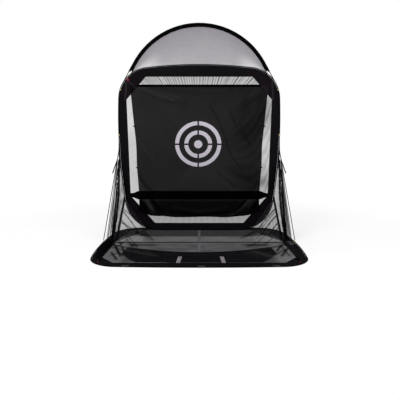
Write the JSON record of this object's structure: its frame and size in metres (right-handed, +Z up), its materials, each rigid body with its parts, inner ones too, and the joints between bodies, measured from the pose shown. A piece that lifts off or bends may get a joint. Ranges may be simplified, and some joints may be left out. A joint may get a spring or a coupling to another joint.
{
  "type": "golf chipping net",
  "caption": "Free-standing pop-up golf chipping net: an upright sprung frame with a hung target sheet and back net, hinged to a netted base ring, under an arched pole with a roof net.",
  "frame": {"origin": "middle of the base ring's footprint, on the ground", "axes": "+X to the right of a player who faces the target, +Y away from the player, +Z up"},
  "size_m": [2.0796, 1.5515, 2.2796],
  "materials": {
    "spring_rod": "satin",
    "ferrule_metal": "satin",
    "hem_cloth": "matte",
    "border_cloth": "matte",
    "gusset_mesh": "matte",
    "light_net": "matte",
    "grey_mesh": "matte",
    "dark_net": "matte",
    "target_cloth": "matte",
    "strap_webbing": "matte",
    "grey_webbing": "matte",
    "cord": "satin",
    "white_elastic": "matte",
    "pole": "satin",
    "cap_plastic": "satin",
    "clip_plastic": "satin",
    "red_tag": "matte"
  },
  "bodies": {
    "base": {"base_ring_wire": "spring_rod", "base_ring_ferrule": "ferrule_metal", "base_hem_sleeve": "hem_cloth", "base_rear_border": "border_cloth", "base_front_border": "border_cloth", "base_side_borders": "border_cloth", "base_corner_gussets": "gusset_mesh", "base_floor_net": "light_net", "return_panel": "grey_mesh", "return_hem_cord": "cord", "center_ribbon": "grey_webbing", "front_tabs": "grey_webbing", "closure_straps": "strap_webbing", "base_tags": "red_tag", "edge_clips": "clip_plastic", "hinge_loops": "strap_webbing", "cross_cord": "cord", "slack_cord": "cord", "net_tail": "dark_net", "side_strap_left": "strap_webbing", "side_strap_right": "strap_webbing"},
    "main_frame": {"frame_ring_wire": "spring_rod", "frame_ring_ferrule": "ferrule_metal", "frame_hem_sleeve": "hem_cloth", "frame_top_border": "border_cloth", "frame_bottom_border": "border_cloth", "frame_side_borders": "border_cloth", "frame_top_gussets": "gusset_mesh", "frame_bottom_gussets": "gusset_mesh", "target_sheet": "target_cloth", "sheet_top_hem": "target_cloth", "sheet_corner_ties": "strap_webbing", "sheet_side_tabs": "strap_webbing", "rebound_strap": "strap_webbing", "back_net": "light_net", "gather_elastic": "white_elastic", "roof_pole_middle": "pole", "roof_pole_left": "pole", "roof_pole_right": "pole", "pole_ferrules": "ferrule_metal", "pole_end_caps": "cap_plastic", "roof_sleeve": "hem_cloth", "roof_net": "light_net", "roof_corner_ties": "white_elastic", "pole_clips": "clip_plastic", "corner_pockets": "grey_webbing", "frame_tag": "red_tag", "side_net_left": "grey_mesh", "outer_net_left": "dark_net", "side_cord_front_left": "cord", "side_cord_rear_left": "cord", "side_bunch_left": "dark_net", "side_net_right": "grey_mesh", "outer_net_right": "dark_net", "side_cord_front_right": "cord", "side_cord_rear_right": "cord", "side_bunch_right": "dark_net"}
  },
  "joints": [
    {"name": "frame_fold", "type": "hinge", "parent": "base", "child": "main_frame", "pos_m": [0, 0.649, 0.00908], "axis": [1, 0, 0], "range_deg": [0, 77], "deforming": ["side_strap_left", "side_net_left", "outer_net_left", "side_cord_front_left", "side_cord_rear_left", "side_bunch_left", "side_strap_right", "side_net_right", "outer_net_right", "side_cord_front_right", "side_cord_rear_right", "side_bunch_right"]}
  ]
}
